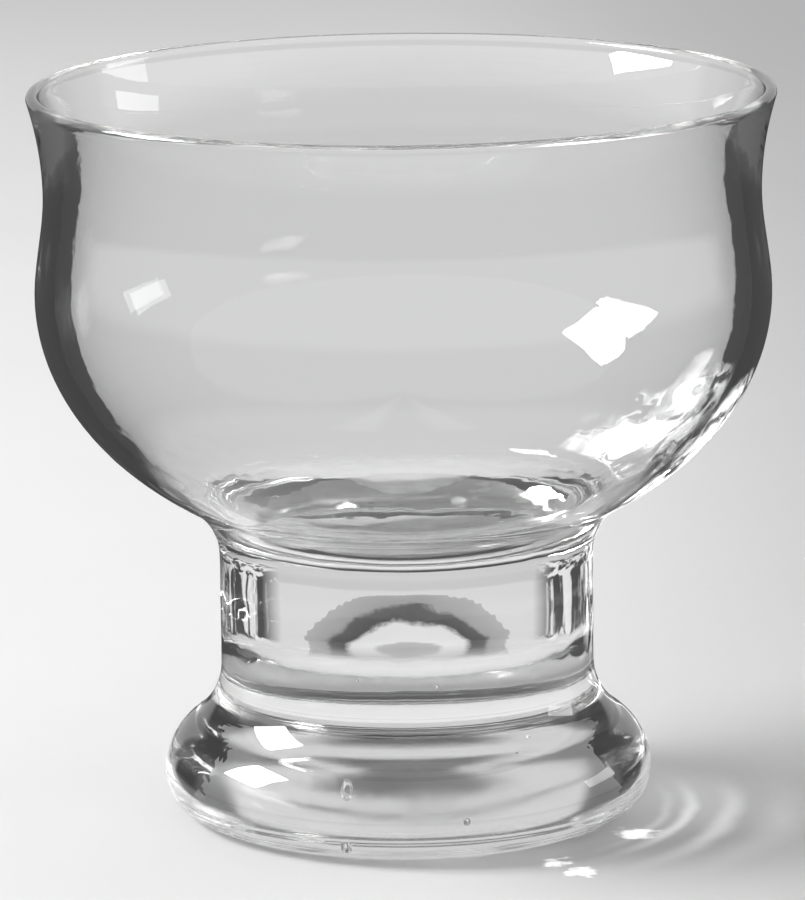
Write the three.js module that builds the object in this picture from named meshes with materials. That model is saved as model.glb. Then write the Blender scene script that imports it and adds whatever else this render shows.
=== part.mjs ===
// Sherbet glass: a round bowl with a flared lip, on a short solid stem and a rounded foot.
// Three gathers of clear glass, hot-joined on flat faces: foot, stem, bowl.
// Millimetres, +Z up, origin at the centre of the plane that the glass stands on.
import * as THREE from "three";

// Foot
const footRadius = 33.1; // widest point of the rounded edge
const footEdgeRound = 5.4; // quarter round from the underside up to the widest point
const footShoulderRound = 8.6; // round from the widest point in towards the stem
const footFillet = 10; // hollow curve that runs up into the stem
const restWidth = 5.7; // flat ring that touches the table
const kickDepth = 0.8; // shallow hollow inside that ring

// Stem
const stemRadius = 25.25;
const stemLength = 14.4; // straight part, between the foot's fillet and the neck's

// Bowl, outside
const neckFillet = 9.2; // hollow curve from the stem out under the bowl
const bellyRadius = 49.4;
const bellyDrop = 35.4; // height of the quarter ellipse under the belly
const waistRadius = 48;
const waistRise = 13.8; // belly to waist
const lipRadius = 50;
const lipRise = 13; // waist to the middle of the rounded lip

// Bowl, wall
const floorThickness = 3; // stem joint to the bottom of the hollow
const bellyWall = 2.6;
const waistWall = 2.5;
const lipThickness = 1.8;

// Facets round the axis and along each stretch of a profile
const segments = 64;
const kickSteps = 4;
const roundSteps = 6;
const bellySteps = 12;
const wallSteps = 5;
const jointTolerance = 1e-4; // points nearer than this are one joint

// Glass
const glassRoughness = 0.04;
const glassOpacity = 0.35;

// Stations in the order in which the pieces stack
const edgeCentre = new THREE.Vector2(footRadius - footEdgeRound, footEdgeRound);
const shoulderCentre = new THREE.Vector2(footRadius - footShoulderRound, footEdgeRound);
const filletCentre = tangentFilletCentre();
const footTop = filletCentre.y;
const stemTop = footTop + stemLength;
const neck = tangentNeck();
const bellyHeight = stemTop - bellyDrop * Math.sin(neck.angle) - neckFillet * neck.normal.y;
const waistHeight = bellyHeight + waistRise;
const lipHeight = waistHeight + lipRise;
const floorHeight = stemTop + floorThickness;

// Centre of the foot's fillet, which touches the stem's side and the shoulder's round.
function tangentFilletCentre() {
  const radius = stemRadius + footFillet;
  const across = radius - shoulderCentre.x;
  const apart = footShoulderRound + footFillet;
  return new THREE.Vector2(radius, shoulderCentre.y + Math.sqrt(apart ** 2 - across ** 2));
}

// Outward normal of the belly's ellipse at an ellipse angle.
function bellyNormal(angle) {
  return new THREE.Vector2(bellyDrop * Math.cos(angle), bellyRadius * Math.sin(angle)).normalize();
}

// Ellipse angle at which the neck's fillet, tangent to the stem, also touches the belly's ellipse.
function tangentNeck() {
  const halvings = 50;
  let below = -Math.PI / 2;
  let above = 0;
  for (let i = 0; i < halvings; i++) {
    const angle = (below + above) / 2;
    const reach = bellyRadius * Math.cos(angle) + neckFillet * bellyNormal(angle).x;
    if (reach < stemRadius + neckFillet) below = angle;
    else above = angle;
  }
  return { angle: above, normal: bellyNormal(above) };
}

const point = (radius, height) => new THREE.Vector2(radius, height);

function arc(centre, radius, from, to, clockwise = false) {
  return new THREE.EllipseCurve(centre.x, centre.y, radius, radius, from, to, clockwise);
}

// Smooth wall from one station to the next, upright at both.
function upright(from, to) {
  const middle = (from.y + to.y) / 2;
  return new THREE.CubicBezierCurve(from, point(from.x, middle), point(to.x, middle), to);
}

// Flare that leaves the waist upright and opens towards the lip.
function flare(waist, lip) {
  return new THREE.QuadraticBezierCurve(waist, point(waist.x, (waist.y + lip.y) / 2), lip);
}

// Profile points of straight ends and sampled curves, each joint written once.
function profile(...stretches) {
  const points = [];
  for (const stretch of stretches) {
    const sampled = stretch.isVector2 ? [stretch] : stretch.curve.getPoints(stretch.steps);
    for (const p of sampled) {
      const last = points.at(-1);
      if (!last || last.distanceTo(p) > jointTolerance) points.push(p);
    }
  }
  return points;
}

function reversed(points) {
  return [...points].reverse();
}

function piece(name, points, tint) {
  const geometry = new THREE.LatheGeometry(points, segments);
  geometry.rotateX(Math.PI / 2);
  const material = new THREE.MeshStandardMaterial({
    color: tint,
    roughness: glassRoughness,
    metalness: 0,
    transparent: true,
    opacity: glassOpacity,
  });
  const mesh = new THREE.Mesh(geometry, material);
  mesh.name = name;
  return mesh;
}

// Foot: hollowed underside, flat ring, bullnose edge, shoulder and fillet up to a flat joint.
function foot() {
  const restInner = edgeCentre.x - restWidth;
  const kick = new THREE.QuadraticBezierCurve(
    point(0, kickDepth),
    point(restInner / 2, kickDepth),
    point(restInner, 0),
  );
  const lean = filletCentre.clone().sub(shoulderCentre).angle();
  const outline = profile(
    { curve: kick, steps: kickSteps },
    { curve: arc(edgeCentre, footEdgeRound, -Math.PI / 2, 0), steps: roundSteps },
    { curve: arc(shoulderCentre, footShoulderRound, 0, lean), steps: roundSteps },
    { curve: arc(filletCentre, footFillet, Math.PI + lean, Math.PI, true), steps: roundSteps },
    point(0, footTop),
  );
  return piece("foot", outline, 0xe4e8e6);
}

// Stem: a short solid column between the two joints.
function stem() {
  const outline = profile(
    point(0, footTop),
    point(stemRadius, footTop),
    point(stemRadius, stemTop),
    point(0, stemTop),
  );
  return piece("stem", outline, 0xe7ebe9);
}

// Bowl: solid neck, belly, drawn-in waist and flared lip, with a wall that thins towards the lip.
function bowl() {
  const neckCentre = point(stemRadius + neckFillet, stemTop);
  const neckEnd = neck.normal.clone().negate().angle();
  const under = new THREE.EllipseCurve(0, bellyHeight, bellyRadius, bellyDrop, neck.angle, 0);
  const belly = point(bellyRadius, bellyHeight);
  const waist = point(waistRadius, waistHeight);
  const lip = point(lipRadius, lipHeight);
  const lipRound = lipThickness / 2;
  const lipCentre = point(lipRadius - lipRound, lipHeight);

  const innerLip = point(lipRadius - lipThickness, lipHeight);
  const innerWaist = point(waistRadius - waistWall, waistHeight);
  const innerBelly = point(bellyRadius - bellyWall, bellyHeight);
  const hollowDrop = bellyHeight - floorHeight;
  const hollow = new THREE.EllipseCurve(0, bellyHeight, innerBelly.x, hollowDrop, 0, -Math.PI / 2, true);

  const outline = profile(
    point(0, stemTop),
    { curve: arc(neckCentre, neckFillet, Math.PI, neckEnd, true), steps: roundSteps },
    { curve: under, steps: bellySteps },
    { curve: upright(belly, waist), steps: wallSteps },
    { curve: flare(waist, lip), steps: wallSteps },
    { curve: arc(lipCentre, lipRound, 0, Math.PI), steps: roundSteps },
    ...reversed(flare(innerWaist, innerLip).getPoints(wallSteps)),
    ...reversed(upright(innerBelly, innerWaist).getPoints(wallSteps)),
    { curve: hollow, steps: bellySteps },
  );
  return piece("bowl", outline, 0xe9edeb);
}

const sherbetGlass = new THREE.Group();
sherbetGlass.add(foot(), stem(), bowl());

export default sherbetGlass;
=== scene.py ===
import math

import bmesh
import bpy
from mathutils import Matrix, Vector


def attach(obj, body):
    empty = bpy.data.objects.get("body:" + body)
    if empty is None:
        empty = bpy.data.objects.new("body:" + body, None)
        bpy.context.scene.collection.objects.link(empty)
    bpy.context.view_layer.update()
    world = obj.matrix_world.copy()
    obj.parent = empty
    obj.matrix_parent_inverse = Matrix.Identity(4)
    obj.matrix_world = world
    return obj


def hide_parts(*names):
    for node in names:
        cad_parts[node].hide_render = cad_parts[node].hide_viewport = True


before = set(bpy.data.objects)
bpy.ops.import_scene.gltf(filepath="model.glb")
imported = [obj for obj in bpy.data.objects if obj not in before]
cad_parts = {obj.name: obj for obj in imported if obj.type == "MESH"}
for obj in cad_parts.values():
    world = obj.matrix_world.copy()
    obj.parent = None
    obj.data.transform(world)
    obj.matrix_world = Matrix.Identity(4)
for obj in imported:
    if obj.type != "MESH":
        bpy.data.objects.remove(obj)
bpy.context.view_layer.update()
scene = bpy.context.scene
mm = 0.001
white = (1.0, 1.0, 1.0, 1.0)
black = (0.0, 0.0, 0.0, 1.0)


# Small helpers for node trees

def setInputs(tree, node, links):
    for key, value in links.items():
        if isinstance(value, bpy.types.NodeSocket):
            tree.links.new(value, node.inputs[key])
        else:
            node.inputs[key].default_value = value


def addNode(tree, kind, links=None, **settings):
    made = tree.nodes.new(kind)
    for name, value in settings.items():
        setattr(made, name, value)
    setInputs(tree, made, links or {})
    return made


def calc(tree, operation, first, second=0.0, third=0.0):
    made = addNode(tree, "ShaderNodeMath", {0: first, 1: second, 2: third}, operation=operation)
    return made.outputs[0]


def plus(tree, first, second):
    return calc(tree, "ADD", first, second)


def minus(tree, first, second):
    return calc(tree, "SUBTRACT", first, second)


def times(tree, first, *others):
    for other in others:
        first = calc(tree, "MULTIPLY", first, other)
    return first


def positive(tree, value):
    return calc(tree, "ABSOLUTE", value)


def ramp(tree, value, low, high, fromLow, toHigh, smooth=False):
    made = addNode(
        tree,
        "ShaderNodeMapRange",
        {"Value": value, "From Min": low, "From Max": high, "To Min": fromLow, "To Max": toHigh},
        clamp=True,
        interpolation_type="SMOOTHSTEP" if smooth else "LINEAR",
    )
    return made.outputs["Result"]


def ease(tree, value, low, high, fromLow, toHigh):
    return ramp(tree, value, low, high, fromLow, toHigh, smooth=True)


def plateau(tree, value, stations, outside, inside, smooth=False):
    risen = ramp(tree, value, stations[0], stations[1], outside, inside, smooth)
    return ramp(tree, value, stations[2], stations[3], risen, outside, smooth)


def noise(tree, place, scale, detail, roughness=0.5, distortion=0.0, seed=None):
    links = {
        "Vector": place,
        "Scale": scale,
        "Detail": detail,
        "Roughness": roughness,
        "Distortion": distortion,
    }
    if seed is None:
        return addNode(tree, "ShaderNodeTexNoise", links).outputs
    links["W"] = seed
    return addNode(tree, "ShaderNodeTexNoise", links, noise_dimensions="4D").outputs


def jitter(tree, place, amount, scale, detail, roughness=0.5):
    raw = noise(tree, place, scale, detail, roughness)[0]
    return calc(tree, "MULTIPLY_ADD", raw, amount, -amount / 2)


def splitPlace(tree, place):
    return addNode(tree, "ShaderNodeSeparateXYZ", {0: place}).outputs


def joinPlace(tree, x, y, z=0.0):
    return addNode(tree, "ShaderNodeCombineXYZ", {0: x, 1: y, 2: z}).outputs[0]


def distance(tree, place, centre=(0.0, 0.0, 0.0)):
    made = addNode(tree, "ShaderNodeVectorMath", {0: place, 1: centre}, operation="DISTANCE")
    return made.outputs["Value"]


def blendValue(tree, factor, first, second):
    made = addNode(tree, "ShaderNodeMix", {0: factor, 2: first, 3: second}, data_type="FLOAT")
    return made.outputs[0]


def blendColour(tree, factor, first, second):
    made = addNode(tree, "ShaderNodeMix", {0: factor, 6: first, 7: second}, data_type="RGBA")
    return made.outputs[2]


def blendShaders(tree, factor, first, second):
    return addNode(tree, "ShaderNodeMixShader", {0: factor, 1: first, 2: second}).outputs[0]


def emptyShader(tree):
    return addNode(tree, "ShaderNodeBsdfTransparent").outputs[0]


def glowShader(tree, strength):
    return addNode(tree, "ShaderNodeEmission", {"Strength": strength}).outputs[0]


# Ray depths are whole numbers, so a test lies half way to the next one

def atMost(tree, depth, count):
    return calc(tree, "LESS_THAN", depth, count + 0.5)


def moreThan(tree, depth, count):
    return calc(tree, "GREATER_THAN", depth, count + 0.5)


def lightPath(tree):
    return addNode(tree, "ShaderNodeLightPath").outputs


def objectPlace(tree):
    return addNode(tree, "ShaderNodeTexCoord").outputs["Object"]


def newMaterial(name):
    material = bpy.data.materials.new(name)
    material.use_nodes = True
    tree = material.node_tree
    return material, tree, tree.nodes["Principled BSDF"]


def setSurface(tree, surface):
    tree.links.new(surface, tree.nodes["Material Output"].inputs["Surface"])


def linkObject(name, data):
    made = bpy.data.objects.new(name, data)
    scene.collection.objects.link(made)
    return made


def inRadians(angles):
    return [math.radians(angle) for angle in angles]


# Camera at the photograph's place: 0.8 m in front, looking 12 degrees down

camera = {
    "away": 0.800,
    "height": 0.22214,
    "across": -0.00036,
    "pitch": 12.196,
    "roll": -0.65,
    "lens": 242.68,
    "sensor": 36,
    "nearest": 0.01,
}


def makeCamera():
    data = bpy.data.cameras.new("productCamera")
    data.sensor_width = camera["sensor"]
    data.lens = camera["lens"]
    data.clip_start = camera["nearest"]
    made = linkObject("productCamera", data)
    place = Matrix.Translation((camera["across"], -camera["away"], camera["height"]))
    turn = Matrix.Rotation(math.radians(90 - camera["pitch"]), 4, "X")
    made.matrix_world = place @ turn @ Matrix.Rotation(math.radians(camera["roll"]), 4, "Z")
    scene.camera = made


makeCamera()
print("camera placed")


# Hot glass skin, shared by the glass finishes: faint ripples, drawn streaks and haze

skin = {
    "rippleDetail": 2.0,
    "rippleRoughness": 0.45,
    "streakStretch": (0.12, 0.12, 1.0),
    "streakDetail": 1.0,
    "streakShare": 0.25,
    "cloudScale": 70.0,
    "cloudDetail": 3.0,
    "cloudRoughness": 0.55,
    "hazeFrom": (0.45, 0.75),
}


def hotGlassSkin():
    group = bpy.data.node_groups.new("hotGlassSkin", "ShaderNodeTree")
    face = group.interface
    face.new_socket("Vector", in_out="INPUT", socket_type="NodeSocketVector")
    for name in ("Ripple Scale", "Streak Scale", "Haze Low", "Haze High"):
        face.new_socket(name, in_out="INPUT", socket_type="NodeSocketFloat")
    for name in ("Height", "Haze", "Cloud"):
        face.new_socket(name, in_out="OUTPUT", socket_type="NodeSocketFloat")
    start = addNode(group, "NodeGroupInput").outputs
    place = start["Vector"]
    rippleScale = start["Ripple Scale"]
    ripple = noise(group, place, rippleScale, skin["rippleDetail"], skin["rippleRoughness"])
    flat = addNode(group, "ShaderNodeMapping", {"Vector": place, "Scale": skin["streakStretch"]})
    streak = noise(group, flat.outputs[0], start["Streak Scale"], skin["streakDetail"])
    cloud = noise(group, place, skin["cloudScale"], skin["cloudDetail"], skin["cloudRoughness"])
    patch = ease(group, cloud[0], *skin["hazeFrom"], 0.0, 1.0)
    addNode(
        group,
        "NodeGroupOutput",
        {
            "Height": calc(group, "MULTIPLY_ADD", streak[0], skin["streakShare"], ripple[0]),
            "Haze": blendValue(group, patch, start["Haze Low"], start["Haze High"]),
            "Cloud": cloud[0],
        },
    )
    return group


glassSkin = hotGlassSkin()

clearGlass = {
    "ior": 1.5,
    "transmission": 1.0,
    "tintThin": (1.0, 1.0, 1.0, 1.0),
    "tintThick": (0.985, 0.99, 0.988, 1.0),
    "rippleScale": 230.0,
    "streakScale": 1100.0,
    "rippleDepth": 0.00002,
    "rippleStrength": 0.35,
    "hazeLow": 0.0,
    "hazeHigh": 0.012,
}

groundGlass = {
    "ior": 1.5,
    "transmission": 0.76,
    "tintThin": (0.97, 0.97, 0.97, 1.0),
    "tintThick": (0.86, 0.86, 0.86, 1.0),
    "rippleScale": 600.0,
    "streakScale": 300.0,
    "rippleDepth": 0.00004,
    "rippleStrength": 0.3,
    "hazeLow": 0.08,
    "hazeHigh": 0.18,
}


def glassMaterial(name, look):
    material, tree, shader = newMaterial(name)
    surface = addNode(
        tree,
        "ShaderNodeGroup",
        {
            "Vector": objectPlace(tree),
            "Ripple Scale": look["rippleScale"],
            "Streak Scale": look["streakScale"],
            "Haze Low": look["hazeLow"],
            "Haze High": look["hazeHigh"],
        },
        node_tree=glassSkin,
    ).outputs
    bump = addNode(
        tree,
        "ShaderNodeBump",
        {
            "Strength": look["rippleStrength"],
            "Distance": look["rippleDepth"],
            "Height": surface["Height"],
        },
    )
    setInputs(tree, shader, {
        "Base Color": blendColour(tree, surface["Cloud"], look["tintThin"], look["tintThick"]),
        "Roughness": surface["Haze"],
        "Normal": bump.outputs[0],
        "IOR": look["ior"],
        "Transmission Weight": look["transmission"],
    })
    return material


clearGlassLook = glassMaterial("clearGlass", clearGlass)
groundGlassLook = glassMaterial("groundGlass", groundGlass)
print("glass finishes ready")


# The glass: one turned profile, foot, stem and bowl fused as the real one is (sizes in mm)

glass = {
    "footRadius": 33.1,
    "footEdgeRound": 5.4,
    "footShoulderRound": 8.6,
    "footFillet": 10.0,
    "restWidth": 5.7,
    "kickDepth": 0.8,
    "stemRadius": 25.25,
    "stemLength": 14.4,
    "neckFillet": 9.2,
    "bellyRadius": 49.4,
    "bellyDrop": 35.4,
    "waistRadius": 48.0,
    "waistRise": 13.8,
    "lipRadius": 50.0,
    "lipRise": 13.0,
    "floorThickness": 3.0,
    "bellyWall": 2.6,
    "waistWall": 2.5,
    "lipThickness": 1.8,
    "ridgeHeights": (1.6, 3.4),  # faint mould lines under the foot's edge
    "ridgeDepth": 0.1,
    "ridgeWidth": 0.3,
    "segments": 252,
    "halvings": 60,
    "pointsApart": 0.004,
    "mergeWithin": 0.002,
    "waveHeight": 0.04,
    "waveLength": 9.0,
    "waveDetail": 1.5,
    "waveRise": (1.0, 7.0),  # still where it stands
    "axisStill": 6.0,
    "neckWaveHeight": 0.2,  # crinkles round the stem and neck, where the hot pieces were joined
    "neckWaveLength": 3.6,
    "neckWaveRise": (17.0, 25.0, 42.0, 64.0),  # heights: begin, full, thin out, end
    "neckWaveRadius": (22.0, 25.0),
    "neckWaveSides": (0.5, 0.85, 0.25),  # strongest at two sides: from, to, share elsewhere
    "groundRadius": 19.4,
    "groundWander": 2.6,
    "groundTop": 0.95,
    "groundScale": 260.0,
    "groundDetail": 4.0,
    "groundRoughness": 0.62,
    "bubbleFineness": 3,
    "seed": 4,
}

# Points along each stretch of the profile
profileSteps = {
    "kick": 56,
    "rest": 10,
    "edge": 40,
    "shoulder": 26,
    "fillet": 24,
    "stem": 14,
    "neck": 26,
    "belly": 44,
    "wall": 16,
    "lip": 14,
    "hollow": 56,
}

# Seed bubbles under the skin: x, y, z, radius, stretch upwards (mm)
bubbles = (
    (-7.95, -27.8, 9.1, 0.8, 1.7),
    (-8.1, -28.6, 2.65, 0.72, 1.0),
    (7.35, -29.5, 5.6, 0.45, 1.1),
    (-6.5, -22.0, 23.0, 0.3, 1.3),
    (3.7, -22.4, 22.2, 0.3, 1.0),
    (15.5, -20.1, 14.1, 0.22, 1.0),
    (14.0, -22.2, 12.2, 0.2, 1.0),
)


def arcPoints(centre, radius, start, end, steps):
    turns = [start + (end - start) * i / steps for i in range(steps + 1)]
    return [(centre[0] + radius * math.cos(t), centre[1] + radius * math.sin(t)) for t in turns]


def spaced(steps):
    return [i / steps for i in range(1, steps + 1)]


def bellyNormal(angle):
    across = glass["bellyDrop"] * math.cos(angle)
    up = glass["bellyRadius"] * math.sin(angle)
    length = math.hypot(across, up)
    return across / length, up / length


# Ellipse angle at which the neck's fillet, tangent to the stem, also touches the belly
def neckAngle():
    low, high = -math.pi / 2, 0.0
    for step in range(glass["halvings"]):
        angle = (low + high) / 2
        reach = glass["bellyRadius"] * math.cos(angle) + glass["neckFillet"] * bellyNormal(angle)[0]
        if reach < glass["stemRadius"] + glass["neckFillet"]:
            low = angle
        else:
            high = angle
    return high


def ridgeAt(height):
    lines = [(height - line) / glass["ridgeWidth"] for line in glass["ridgeHeights"]]
    return glass["ridgeDepth"] * sum(math.exp(-(line ** 2)) for line in lines)


def glassProfile():
    g = glass
    steps = profileSteps
    edgeAcross = g["footRadius"] - g["footEdgeRound"]
    shoulder = (g["footRadius"] - g["footShoulderRound"], g["footEdgeRound"])
    filletAcross = g["stemRadius"] + g["footFillet"]
    apart = g["footShoulderRound"] + g["footFillet"]
    footTop = shoulder[1] + math.sqrt(apart ** 2 - (filletAcross - shoulder[0]) ** 2)
    lean = math.atan2(footTop - shoulder[1], filletAcross - shoulder[0])
    stemTop = footTop + g["stemLength"]
    angle = neckAngle()
    normal = bellyNormal(angle)
    neckCentre = (g["stemRadius"] + g["neckFillet"], stemTop)
    neckEnd = math.atan2(-normal[1], -normal[0])
    belly = stemTop - g["bellyDrop"] * math.sin(angle) - g["neckFillet"] * normal[1]
    waist = belly + g["waistRise"]
    lip = waist + g["lipRise"]
    lipHalf = g["lipThickness"] / 2
    restInner = edgeAcross - g["restWidth"]
    wall = spaced(steps["wall"])

    def upright(low, high, u):
        return low + (high - low) * (3 * u * u - 2 * u ** 3), belly + g["waistRise"] * u

    def flare(low, high, u):
        return low + (high - low) * u * u, waist + g["lipRise"] * u

    # Outside, from the middle of the underside up to the lip
    kick = [0.0] + spaced(steps["kick"])
    points = [(restInner * u, g["kickDepth"] * (1 - u * u)) for u in kick]
    points += [(restInner + g["restWidth"] * u, 0.0) for u in spaced(steps["rest"])]
    edgeCentre = (edgeAcross, g["footEdgeRound"])
    edge = arcPoints(edgeCentre, g["footEdgeRound"], -math.pi / 2, 0, steps["edge"])
    points += [(across - ridgeAt(height), height) for across, height in edge]
    points += arcPoints(shoulder, g["footShoulderRound"], 0, lean, steps["shoulder"])
    filletCentre = (filletAcross, footTop)
    points += arcPoints(filletCentre, g["footFillet"], math.pi + lean, math.pi, steps["fillet"])
    points += [(g["stemRadius"], footTop + g["stemLength"] * u) for u in spaced(steps["stem"])]
    points += arcPoints(neckCentre, g["neckFillet"], math.pi, neckEnd, steps["neck"])
    for u in spaced(steps["belly"]):
        t = angle * (1 - u)
        points.append((g["bellyRadius"] * math.cos(t), belly + g["bellyDrop"] * math.sin(t)))
    points += [upright(g["bellyRadius"], g["waistRadius"], u) for u in wall]
    points += [flare(g["waistRadius"], g["lipRadius"], u) for u in wall]
    points += arcPoints((g["lipRadius"] - lipHalf, lip), lipHalf, 0, math.pi, steps["lip"])

    # Inside, down to the middle of the bowl's floor
    innerLip = g["lipRadius"] - g["lipThickness"]
    innerWaist = g["waistRadius"] - g["waistWall"]
    innerBelly = g["bellyRadius"] - g["bellyWall"]
    points += [flare(innerWaist, innerLip, 1 - u) for u in wall]
    points += [upright(innerBelly, innerWaist, 1 - u) for u in wall]
    drop = belly - (stemTop + g["floorThickness"])
    for u in spaced(steps["hollow"]):
        t = math.pi / 2 * u
        points.append((innerBelly * math.cos(t), belly - drop * math.sin(t)))
    points[-1] = (0.0, points[-1][1])

    kept = []
    for p in points:
        if not kept or math.dist(kept[-1], p) > g["pointsApart"]:
            kept.append(p)
    return kept


def geometryTree(name, inputs):
    tree = bpy.data.node_groups.new(name, "GeometryNodeTree")
    face = tree.interface
    face.new_socket("Geometry", in_out="INPUT", socket_type="NodeSocketGeometry")
    values = {}
    for label, kind, value in inputs:
        socket = face.new_socket(label, in_out="INPUT", socket_type=kind)
        values[socket.identifier] = value
    face.new_socket("Geometry", in_out="OUTPUT", socket_type="NodeSocketGeometry")
    return tree, addNode(tree, "NodeGroupInput").outputs, values


def passOn(tree, kind, geometry, links=None):
    return addNode(tree, kind, {"Geometry": geometry, **(links or {})}).outputs[0]


def turnedGlassTree():
    tree, start, values = geometryTree("turnedGlass", (
        ("Segments", "NodeSocketInt", glass["segments"]),
        ("Wave Height", "NodeSocketFloat", glass["waveHeight"] * mm),
        ("Wave Length", "NodeSocketFloat", glass["waveLength"] * mm),
        ("Neck Wave Height", "NodeSocketFloat", glass["neckWaveHeight"] * mm),
        ("Neck Wave Length", "NodeSocketFloat", glass["neckWaveLength"] * mm),
        ("Ground Radius", "NodeSocketFloat", glass["groundRadius"] * mm),
        ("Ground Wander", "NodeSocketFloat", glass["groundWander"] * mm),
        ("Seed", "NodeSocketInt", glass["seed"]),
    ))

    # Grid of stations by steps round the axis
    domain = addNode(tree, "GeometryNodeAttributeDomainSize", {"Geometry": start["Geometry"]})
    around = plus(tree, start["Segments"], 1.0)
    grid = addNode(
        tree,
        "GeometryNodeMeshGrid",
        {"Vertices X": domain.outputs["Point Count"], "Vertices Y": around},
    )
    index = addNode(tree, "GeometryNodeInputIndex").outputs[0]
    station = calc(tree, "FLOOR", calc(tree, "DIVIDE", plus(tree, index, 0.5), around))
    step = minus(tree, index, times(tree, station, around))
    turn = calc(tree, "DIVIDE", times(tree, step, 2 * math.pi), start["Segments"])
    cosine = calc(tree, "COSINE", turn)
    sine = calc(tree, "SINE", turn)
    sample = addNode(
        tree,
        "GeometryNodeSampleIndex",
        {"Geometry": start["Geometry"]},
        data_type="FLOAT_VECTOR",
    )
    setInputs(tree, sample, {
        "Value": addNode(tree, "GeometryNodeInputPosition").outputs[0],
        "Index": station,
    })
    spot = splitPlace(tree, sample.outputs[0])
    radius, height = spot[0], spot[2]

    # Slow waves of hand-worked glass, none where it stands and none on the axis
    plain = joinPlace(tree, times(tree, radius, cosine), times(tree, radius, sine), height)
    clear = ease(tree, height, *(h * mm for h in glass["waveRise"]), 0.0, 1.0)
    rise = [h * mm for h in glass["neckWaveRise"]]
    outer = [r * mm for r in glass["neckWaveRadius"]]
    sideFrom, sideTo, frontShare = glass["neckWaveSides"]
    joined = times(
        tree,
        plateau(tree, height, rise, 0.0, 1.0, smooth=True),
        ease(tree, radius, *outer, 0.0, 1.0),
        ease(tree, positive(tree, cosine), sideFrom, sideTo, frontShare, 1.0),
    )
    offAxis = ramp(tree, radius, 0.0, glass["axisStill"] * mm, 0.0, 1.0)
    shifts = []
    for label, where in (("Wave", clear), ("Neck Wave", joined)):
        scale = calc(tree, "DIVIDE", 1.0, start[label + " Length"])
        wave = noise(tree, plain, scale, glass["waveDetail"], seed=start["Seed"])
        parts = addNode(tree, "FunctionNodeSeparateColor", {0: wave["Color"]}).outputs
        tall = times(tree, start[label + " Height"], where)
        shifts.append([times(tree, minus(tree, part, 0.5), tall) for part in parts[:2]])
    outwards = times(tree, plus(tree, shifts[0][0], shifts[1][0]), offAxis)
    upwards = plus(tree, shifts[0][1], shifts[1][1])
    wavy = plus(tree, radius, outwards)
    place = joinPlace(
        tree,
        times(tree, wavy, cosine),
        times(tree, wavy, sine),
        plus(tree, height, upwards),
    )
    shaped = passOn(tree, "GeometryNodeSetPosition", grid.outputs["Mesh"], {"Position": place})
    within = glass["mergeWithin"] * mm
    closed = passOn(tree, "GeometryNodeMergeByDistance", shaped, {"Distance": within})
    smooth = passOn(tree, "GeometryNodeSetShadeSmooth", closed, {"Shade Smooth": True})
    whole = passOn(tree, "GeometryNodeRealizeInstances", smooth)
    dressed = passOn(tree, "GeometryNodeSetMaterial", whole, {"Material": clearGlassLook})

    # Ground patch under the foot, with a ragged edge
    spotNow = addNode(tree, "GeometryNodeInputPosition").outputs[0]
    now = splitPlace(tree, spotNow)
    squares = plus(tree, times(tree, now[0], now[0]), times(tree, now[1], now[1]))
    ragged = noise(
        tree,
        spotNow,
        glass["groundScale"],
        glass["groundDetail"],
        glass["groundRoughness"],
        seed=start["Seed"],
    )
    edge = calc(
        tree,
        "MULTIPLY_ADD",
        minus(tree, ragged[0], 0.5),
        times(tree, start["Ground Wander"], 2.0),
        start["Ground Radius"],
    )
    under = calc(tree, "LESS_THAN", now[2], glass["groundTop"] * mm)
    inside = calc(tree, "LESS_THAN", calc(tree, "SQRT", squares), edge)
    grounded = passOn(
        tree,
        "GeometryNodeSetMaterial",
        dressed,
        {"Material": groundGlassLook, "Selection": times(tree, under, inside)},
    )
    addNode(tree, "NodeGroupOutput", {"Geometry": grounded})
    return tree, values


def bubbleTree():
    tree, start, values = geometryTree("seedBubbles", (
        ("Fineness", "NodeSocketInt", glass["bubbleFineness"]),
    ))
    ball = addNode(
        tree,
        "GeometryNodeMeshIcoSphere",
        {"Radius": 1.0, "Subdivisions": start["Fineness"]},
    )
    hollow = addNode(tree, "GeometryNodeFlipFaces", {0: ball.outputs["Mesh"]})
    size = addNode(
        tree,
        "GeometryNodeInputNamedAttribute",
        {"Name": "bubbleSize"},
        data_type="FLOAT_VECTOR",
    )
    spread = addNode(
        tree,
        "GeometryNodeInstanceOnPoints",
        {
            "Points": start["Geometry"],
            "Instance": hollow.outputs[0],
            "Scale": size.outputs["Attribute"],
        },
    )
    real = passOn(tree, "GeometryNodeRealizeInstances", spread.outputs[0])
    smooth = passOn(tree, "GeometryNodeSetShadeSmooth", real, {"Shade Smooth": True})
    dressed = passOn(tree, "GeometryNodeSetMaterial", smooth, {"Material": clearGlassLook})
    addNode(tree, "NodeGroupOutput", {"Geometry": dressed})
    return tree, values


def grownMesh(name, mesh, tree, values):
    grower = linkObject(name + "Grower", mesh)
    modifier = grower.modifiers.new("grow", "NODES")
    modifier.node_group = tree
    for identifier, value in values.items():
        modifier[identifier] = value
    evaluated = grower.evaluated_get(bpy.context.evaluated_depsgraph_get())
    made = bpy.data.meshes.new_from_object(evaluated)
    grower.modifiers.remove(modifier)
    bpy.data.objects.remove(grower)
    made.name = name
    # an unused first slot comes with a grown mesh, so only the real finishes are kept
    looks = [look for look in made.materials if look]
    numbers = [looks.index(made.materials[face.material_index]) for face in made.polygons]
    made.materials.clear()
    for look in looks:
        made.materials.append(look)
    made.polygons.foreach_set("material_index", numbers)
    return made


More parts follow.
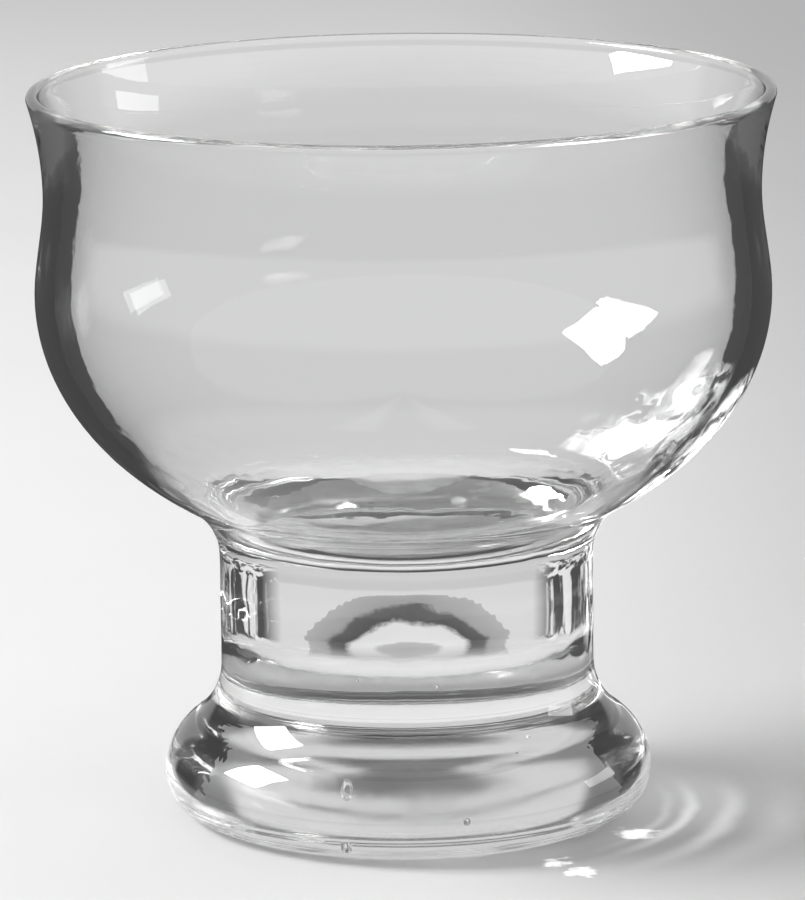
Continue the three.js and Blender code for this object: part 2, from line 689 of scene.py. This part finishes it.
def makeGlass():
    outline = glassProfile()
    corners = [(across * mm, 0.0, height * mm) for across, height in outline]
    steps = [(i, i + 1) for i in range(len(outline) - 1)]
    profileMesh = bpy.data.meshes.new("glassProfile")
    profileMesh.from_pydata(corners, steps, [])
    turned = grownMesh("sherbetGlass", profileMesh, *turnedGlassTree())

    places = [(x * mm, y * mm, z * mm) for x, y, z, radius, stretch in bubbles]
    placesMesh = bpy.data.meshes.new("bubblePlaces")
    placesMesh.from_pydata(places, [], [])
    size = placesMesh.attributes.new("bubbleSize", "FLOAT_VECTOR", "POINT")
    for i, (x, y, z, radius, stretch) in enumerate(bubbles):
        size.data[i].vector = (radius * mm, radius * mm, radius * stretch * mm)
    voids = grownMesh("seedBubbles", placesMesh, *bubbleTree())

    solid = bmesh.new()
    solid.from_mesh(turned)
    if solid.calc_volume(signed=True) < 0:
        bmesh.ops.reverse_faces(solid, faces=solid.faces)
    loose = [edge for edge in solid.edges if len(edge.link_faces) != 2]
    volume = solid.calc_volume(signed=True) / (10 * mm) ** 3
    solid.from_mesh(voids)
    solid.to_mesh(turned)
    solid.free()
    for face in turned.polygons:
        face.use_smooth = True
    finishes = [look.name for look in turned.materials]
    print("glass turned:", len(outline), "stations,", len(turned.polygons), "faces")
    print("open edges", len(loose), "volume", round(volume, 2), "cm3, finishes", finishes)
    return linkObject("sherbetGlass", turned)


glassPiece = makeGlass()
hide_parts("bowl", "stem", "foot")
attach(glassPiece, "root")


# Stage: a pale floor, and the near part of it that the glass refracts (m)

floor = {
    "near": 0.09,
    "nearFade": 0.05,
    "far": 6.0,
    "discRadius": 1.2,
    "segments": 128,
    "farHeight": -0.0001,
    "nearHeight": -0.00005,
    "pale": (0.82, 0.82, 0.82, 1.0),
    "grain": (0.79, 0.79, 0.79, 1.0),
    "grainScale": 18.0,
    "grainDetail": 4.0,
    "roughness": 0.85,
    # painted shade in the floor's colour: darker below the lamp, and darker on the side away from
    # the key
    "paintedShadeUnderKey": (-0.45, -0.1, 0.35),  # across from, to, and tone: darker below the lamp
    "paintedShadeAwayFromKey": (0.0, 0.1, 0.76),
    "fadeStart": 0.66,
    "fadeEnd": 1.1,
    "horizon": 0.5,
}


# Painted caustic light and painted shadow on the floor, standing for what the foot throws there,
# away from the key (m and degrees)

paintedCausticsAndShadow = {
    # painted caustic rings of light
    "rings": (  # radius, width, strength
        (0.0352, 0.0006, 0.14),
        (0.0382, 0.0008, 0.3),
        (0.0442, 0.0014, 0.24),
        (0.0515, 0.0022, 0.09),
    ),
    "towards": -17.0,
    "spread": 38.0,
    "wobble": 0.003,
    "wobbleScale": 60.0,
    # painted caustic spots of light
    "spots": (  # x, y, size, strength
        (0.0195, -0.03, 0.0014, 0.9),
        (0.0223, -0.035, 0.0018, 0.8),
        (0.0304, -0.0168, 0.0022, 0.7),
    ),
    "spotEdge": (0.4, 1.6),
    "spotScale": 420.0,
    "spotJag": 0.006,
    "detail": 2.0,
    # painted shadow beside the foot
    "shadow": (0.034, 0.068, 0.62),  # from, to, and tone, darkest beside the foot
    "shadowSpread": 75.0,
}


def paintCausticsAndShadow(tree, place):
    parts = splitPlace(tree, place)
    away = distance(tree, place)
    facing = calc(tree, "ARCTAN2", parts[1], parts[0])
    aside = positive(tree, minus(tree, facing, math.radians(paintedCausticsAndShadow["towards"])))
    wobble = jitter(tree, place, paintedCausticsAndShadow["wobble"], paintedCausticsAndShadow["wobbleScale"], paintedCausticsAndShadow["detail"])
    wavy = plus(tree, away, wobble)
    # painted caustic light: the rings and spots glow from the floor
    total = 0.0
    for radius, width, strength in paintedCausticsAndShadow["rings"]:
        off = positive(tree, minus(tree, wavy, radius))
        total = plus(tree, ease(tree, off, 0.0, 2 * width, strength, 0.0), total)
    total = times(tree, total, ease(tree, aside, 0.0, math.radians(paintedCausticsAndShadow["spread"]), 1.0, 0.0))
    jag = jitter(tree, place, paintedCausticsAndShadow["spotJag"], paintedCausticsAndShadow["spotScale"], paintedCausticsAndShadow["detail"])
    core, rim = paintedCausticsAndShadow["spotEdge"]
    for x, y, size, strength in paintedCausticsAndShadow["spots"]:
        apart = plus(tree, distance(tree, place, (x, y, 0.0)), jag)
        total = plus(tree, ease(tree, apart, size * core, size * rim, strength, 0.0), total)
    # painted shadow, darkest beside the foot
    near, far, dim = paintedCausticsAndShadow["shadow"]
    deep = ease(tree, aside, 0.0, math.radians(paintedCausticsAndShadow["shadowSpread"]), dim, 1.0)
    return ease(tree, away, near, far, deep, 1.0), total


def floorMaterial(name, fadesOut):
    material, tree, shader = newMaterial(name)
    place = objectPlace(tree)
    grain = noise(tree, place, floor["grainScale"], floor["grainDetail"])[0]
    pale = blendColour(tree, grain, floor["pale"], floor["grain"])
    across = splitPlace(tree, place)[0]
    # Painted shade in the floor's colour: darker below the lamp and away from the key, times the
    # painted shadow beside the foot
    low, high, dim = floor["paintedShadeUnderKey"]
    paintedShadeUnderKey = ease(tree, across, low, high, dim, 1.0)
    low, high, dim = floor["paintedShadeAwayFromKey"]
    paintedShadeAwayFromKey = ease(tree, across, low, high, 1.0, dim)
    # painted shadow and painted caustic light beside the foot; the light glows through the emission
    shadow, paintedLight = paintCausticsAndShadow(tree, place)
    tone = times(tree, paintedShadeUnderKey, paintedShadeAwayFromKey, shadow)
    setInputs(tree, shader, {
        "Base Color": blendColour(tree, tone, black, pale),
        "Roughness": floor["roughness"],
        "Specular IOR Level": 0.0,
        "Emission Color": white,
        "Emission Strength": paintedLight,
    })
    away = distance(tree, place)
    fade = ease(tree, away, floor["fadeStart"], floor["fadeEnd"], 0.0, 1.0)
    both = blendShaders(tree, fade, shader.outputs[0], glowShader(tree, floor["horizon"]))
    if fadesOut:
        gone = ease(tree, away, floor["nearFade"], floor["near"], 0.0, 1.0)
        both = blendShaders(tree, gone, both, emptyShader(tree))
    setSurface(tree, both)
    return material


# Painted shadow of the bowl on the floor behind, with a lighter painted caustic ring, which shows
# only through the solid stem

shade = {
    "centre": (0.0, 0.088),
    "half": (0.031, 0.06),
    "height": 0.00002,
    # tones of the painted shadow, with its lighter painted caustic ring
    "rings": (  # from the middle out: place, tone
        (0.0, 0.44),
        (0.24, 0.48),
        (0.3, 0.78),
        (0.5, 0.74),
        (0.57, 0.09),
        (0.7, 0.12),
        (0.76, 0.36),
        (1.0, 0.44),
    ),
    "middle": (0.5, 0.5, 0.5, 1.0),
    "middleFade": (-0.5, 0.1),
    "nearEnd": (-0.42, -0.25),
    "narrowing": 1.6,  # towards the glass
    "narrowFrom": 0.25,
    "ragged": 0.13,
    "raggedScale": 13.0,
    "raggedDetail": 5.0,
    "raggedRoughness": 0.7,
    "teeth": 64.0,
    "toothDepth": 0.012,
}


# Tones of the painted shadow and its lighter painted ring
def paintedRingTones(tree, reach):
    rings = addNode(tree, "ShaderNodeValToRGB", {0: reach})
    stops = rings.color_ramp.elements
    while len(stops) < len(shade["rings"]):
        stops.new(1.0)
    for stop, (where, tone) in zip(stops, shade["rings"]):
        stop.position = where
        stop.color = (tone, tone, tone, 1.0)
    return rings.outputs[0]


def shadeMaterial():
    material, tree, shader = newMaterial("shadeBehind")
    place = objectPlace(tree)
    parts = splitPlace(tree, place)
    nearer = calc(tree, "MAXIMUM", minus(tree, shade["narrowFrom"], parts[1]), 0.0)
    widening = calc(tree, "MULTIPLY_ADD", nearer, shade["narrowing"], 1.0)
    oval = joinPlace(tree, times(tree, parts[0], widening), parts[1])
    ragged = jitter(
        tree,
        place,
        shade["ragged"],
        shade["raggedScale"],
        shade["raggedDetail"],
        shade["raggedRoughness"],
    )
    reach = plus(tree, distance(tree, oval), ragged)
    far = ease(tree, parts[1], *shade["middleFade"], 0.0, 1.0)
    setInputs(tree, shader, {
        "Base Color": blendColour(tree, far, shade["middle"], paintedRingTones(tree, reach)),
        "Roughness": floor["roughness"],
        "Specular IOR Level": 0.0,
    })
    turn = calc(tree, "ARCTAN2", parts[0], parts[1])
    teeth = calc(tree, "SINE", times(tree, turn, shade["teeth"]))
    toothed = plus(tree, reach, times(tree, teeth, shade["toothDepth"]))
    path = lightPath(tree)
    shown = times(
        tree,
        calc(tree, "LESS_THAN", toothed, 1.0),
        ramp(tree, parts[1], *shade["nearEnd"], 0.0, 1.0),
        calc(tree, "COMPARE", path["Transmission Depth"], 2.0, 0.5),
        atMost(tree, path["Glossy Depth"], 0),
    )
    setSurface(tree, blendShaders(tree, shown, emptyShader(tree), shader.outputs[0]))
    return material


# Painted light: a glowing patch on the floor behind, standing for light that the bowl throws there,
# which shows only through the bowl's wall

paintedLightPatch = {
    "centre": (0.074, 0.145),
    "half": (0.042, 0.072),
    "height": 0.00004,
    "edge": (0.75, 1.15),
    "scale": 2.6,
    "detail": 4.0,
    "distortion": 0.9,
    "from": (0.44, 0.53),
    "strength": 2.2,
}


def paintedLightMaterial():
    material, tree, shader = newMaterial("paintedLightBehind")
    tree.nodes.remove(shader)
    place = objectPlace(tree)
    broken = noise(
        tree,
        place,
        paintedLightPatch["scale"],
        paintedLightPatch["detail"],
        distortion=paintedLightPatch["distortion"],
    )
    path = lightPath(tree)
    throughStem = times(
        tree,
        atMost(tree, path["Transmission Depth"], 2),
        atMost(tree, path["Glossy Depth"], 0),
    )
    bright = times(
        tree,
        ease(tree, broken[0], *paintedLightPatch["from"], 0.0, 1.0),
        ease(tree, distance(tree, place), *paintedLightPatch["edge"], 1.0, 0.0),
        minus(tree, 1.0, throughStem),
    )
    # the painted light glows here
    paintedLight = glowShader(tree, paintedLightPatch["strength"])
    setSurface(tree, blendShaders(tree, bright, emptyShader(tree), paintedLight))
    return material


def makeDisc(name, look, radius, height, centre=(0.0, 0.0), half=(1.0, 1.0), onlyGlass=True):
    disc = bmesh.new()
    bmesh.ops.create_circle(disc, cap_ends=True, segments=floor["segments"], radius=radius)
    mesh = bpy.data.meshes.new(name)
    disc.to_mesh(mesh)
    disc.free()
    mesh.materials.append(look)
    made = linkObject(name, mesh)
    made.location = (*centre, height)
    made.scale = (*half, 1.0)
    made.visible_camera = not onlyGlass
    made.visible_diffuse = not onlyGlass
    made.visible_shadow = not onlyGlass
    made.visible_transmission = onlyGlass
    made.visible_glossy = onlyGlass


def makeFloor():
    farLook = floorMaterial("paleFloor", False)
    nearLook = floorMaterial("paleFloorNear", True)
    makeDisc("floorFar", farLook, floor["far"], floor["farHeight"], onlyGlass=False)
    makeDisc("floorNear", nearLook, floor["discRadius"], floor["nearHeight"])
    for name, look, patch in (
        ("shadeBehind", shadeMaterial(), shade),
        ("paintedLightBehind", paintedLightMaterial(), paintedLightPatch),
    ):
        makeDisc(name, look, floor["discRadius"], patch["height"], patch["centre"], patch["half"])


makeFloor()
print("stage laid")


# Studio: pale panels all round with dark gaps, which draw the glass's edges, and three softboxes

studio = {
    "panelEvery": 45.0,
    "panelHalf": 13.5,
    "panelSoft": 0.8,
    "panel": 0.86,
    "gap": 0.12,
    "throughSolid": 0.92,
    "throughThin": 0.78,
    "throughRise": (-0.2, -0.18),
    "clutter": (0.1, 1.15),
    "clutterFrom": (0.44, 0.56),
    "clutterAside": (31.0, 39.0, 75.0, 85.0),
    "clutterRise": (-0.3, -0.26, 0.05, 0.12),
    "clutterScale": 13.0,
    "clutterDetail": 3.0,
    "baseMirror": 0.8,
    "baseAside": (28.0, 34.0, 58.0, 66.0),
    "baseRise": (-0.12, -0.07),
    "overhead": 0.03,
    "overheadAside": (9.0, 21.0),
    "overheadRise": (0.22, 0.4),
    "mirrored": 0.06,
    "mirroredOften": 0.2,
    "mirroredTimes": (1.5, 5.0),
    "mirroredDown": 0.7,
    "mirroredDownRise": (-0.7, -0.6),
    "room": 0.7,
    "tone": (0.8, 0.8, 0.8, 1.0),
    "bounces": 160,
    "glassBounces": 128,
    "aimHeight": 0.05,
}

softboxes = (
    {
        "name": "keyBox",
        "azimuth": -93.0,
        "elevation": 34.0,
        "away": 0.9,
        "size": (0.38, 0.38),
        "power": 7.5,
        "lightsFloor": True,
    },
    {
        "name": "keyGlint",  # the key's brighter core, seen in the glass and not on the floor
        "azimuth": -93.0,
        "elevation": 34.0,
        "away": 0.89,
        "size": (0.38, 0.38),
        "power": 6.0,
        "lightsFloor": False,
    },
    {
        "name": "rightCard",
        "azimuth": 103.0,
        "elevation": 10.0,
        "away": 1.0,
        "size": (0.36, 0.17),
        "power": 0.75,
        "lightsFloor": True,
    },
)


def panelLight(tree, facing):
    every = math.radians(studio["panelEvery"])
    # two whole turns keep the angle above zero
    turn = plus(tree, facing, 4 * math.pi + every / 2)
    fromPanel = positive(tree, minus(tree, calc(tree, "MODULO", turn, every), every / 2))
    half = math.radians(studio["panelHalf"])
    soft = math.radians(studio["panelSoft"])
    return ease(tree, fromPanel, half, half + soft, studio["panel"], studio["gap"])


# Broken light and dark at two sides, which the solid stem shows as crinkled edges
def stemLight(tree, way, aside, rise):
    broken = noise(tree, way, studio["clutterScale"], studio["clutterDetail"])[0]
    lights = ease(tree, broken, *studio["clutterFrom"], *studio["clutter"])
    toSide = plateau(tree, aside, inRadians(studio["clutterAside"]), 0.0, 1.0)
    level = plateau(tree, rise, studio["clutterRise"], 0.0, 1.0)
    clear = ramp(tree, rise, *studio["throughRise"], studio["throughSolid"], studio["throughThin"])
    return blendValue(tree, times(tree, toSide, level), clear, lights)


# The foot's base mirrors the pale wall behind, with a darker ceiling in the middle
def baseLight(tree, aside, rise):
    around = inRadians(studio["baseAside"])
    wall = plateau(tree, aside, around, studio["baseMirror"], studio["mirrored"], smooth=True)
    above = ease(tree, rise, *studio["overheadRise"], 0.0, 1.0)
    ceiling = ease(tree, aside, *inRadians(studio["overheadAside"]), above, 0.0)
    return blendValue(tree, ceiling, wall, studio["overhead"])


def makeWorld():
    world = bpy.data.worlds.new("studio")
    scene.world = world
    world.use_nodes = True
    tree = world.node_tree
    tree.nodes.clear()
    way = addNode(tree, "ShaderNodeTexCoord").outputs["Generated"]
    parts = splitPlace(tree, way)
    rise = parts[2]
    facing = calc(tree, "ARCTAN2", parts[0], parts[1])
    aside = positive(tree, facing)
    path = lightPath(tree)
    glossy = path["Glossy Depth"]
    solid = atMost(tree, path["Transmission Depth"], 2)
    through = blendValue(tree, solid, panelLight(tree, facing), stemLight(tree, way, aside, rise))

    often = ramp(
        tree,
        glossy,
        *studio["mirroredTimes"],
        studio["mirrored"],
        studio["mirroredOften"],
    )
    downwards = ramp(tree, rise, *studio["mirroredDownRise"], 1.0, 0.0)
    mirrored = blendValue(tree, downwards, often, studio["mirroredDown"])
    upper = ramp(tree, rise, *studio["baseRise"], 0.0, 1.0)
    inBase = times(tree, upper, atMost(tree, glossy, 1), solid)
    mirrored = blendValue(tree, inBase, mirrored, baseLight(tree, aside, rise))

    inGlass = blendValue(tree, moreThan(tree, glossy, 0), through, mirrored)
    scattered = moreThan(tree, path["Diffuse Depth"], 0)
    plain = blendValue(tree, scattered, inGlass, studio["room"])
    # straight to the camera, the world has the floor's far tone
    seen = blendValue(tree, path["Is Camera Ray"], plain, floor["horizon"] / studio["tone"][0])
    back = addNode(tree, "ShaderNodeBackground", {"Color": studio["tone"], "Strength": seen})
    addNode(tree, "ShaderNodeOutputWorld", {"Surface": back.outputs[0]})


def makeSoftbox(box):
    data = bpy.data.lights.new(box["name"], "AREA")
    data.shape = "RECTANGLE"
    data.size, data.size_y = box["size"]
    data.energy = box["power"]
    made = linkObject(box["name"], data)
    azimuth, elevation = inRadians((box["azimuth"], box["elevation"]))
    flat = math.cos(elevation)
    way = Vector((math.sin(azimuth) * flat, -math.cos(azimuth) * flat, math.sin(elevation)))
    made.location = Vector((0, 0, studio["aimHeight"])) + way * box["away"]
    made.rotation_euler = way.to_track_quat("Z", "Y").to_euler()
    made.visible_diffuse = box["lightsFloor"]


makeWorld()
for box in softboxes:
    makeSoftbox(box)
scene.cycles.max_bounces = studio["bounces"]
scene.cycles.glossy_bounces = studio["glassBounces"]
scene.cycles.transmission_bounces = studio["glassBounces"]
scene.view_settings.view_transform = "Standard"
print("studio lit")
